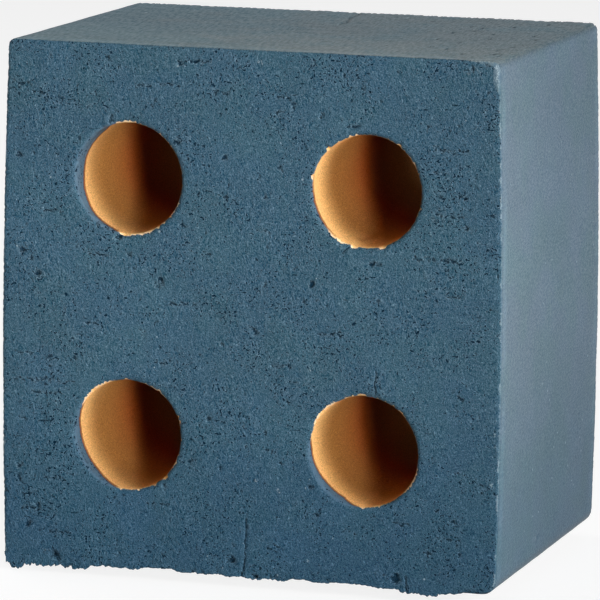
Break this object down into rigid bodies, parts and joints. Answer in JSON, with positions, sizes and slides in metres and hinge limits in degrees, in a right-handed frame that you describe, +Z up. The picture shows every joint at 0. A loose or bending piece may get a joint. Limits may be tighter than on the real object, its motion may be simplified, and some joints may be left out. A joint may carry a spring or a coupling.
{
  "type": "cored clay block",
  "caption": "Squarish extruded clay block with round through cores, glazed outside, for walling, edging or use as a small weight or stand.",
  "frame": {"origin": "centre of the outline at floor level, where the tips of the two burrs stand on the surface under the block", "axes": "+Z up, +Y along the cores from the front cut face to the back one, +X to the right seen from the front"},
  "size_m": [0.14, 0.1, 0.145],
  "materials": {
    "glazed_clay": "satin"
  },
  "bodies": {
    "root": {"block": "glazed_clay"}
  },
  "joints": []
}
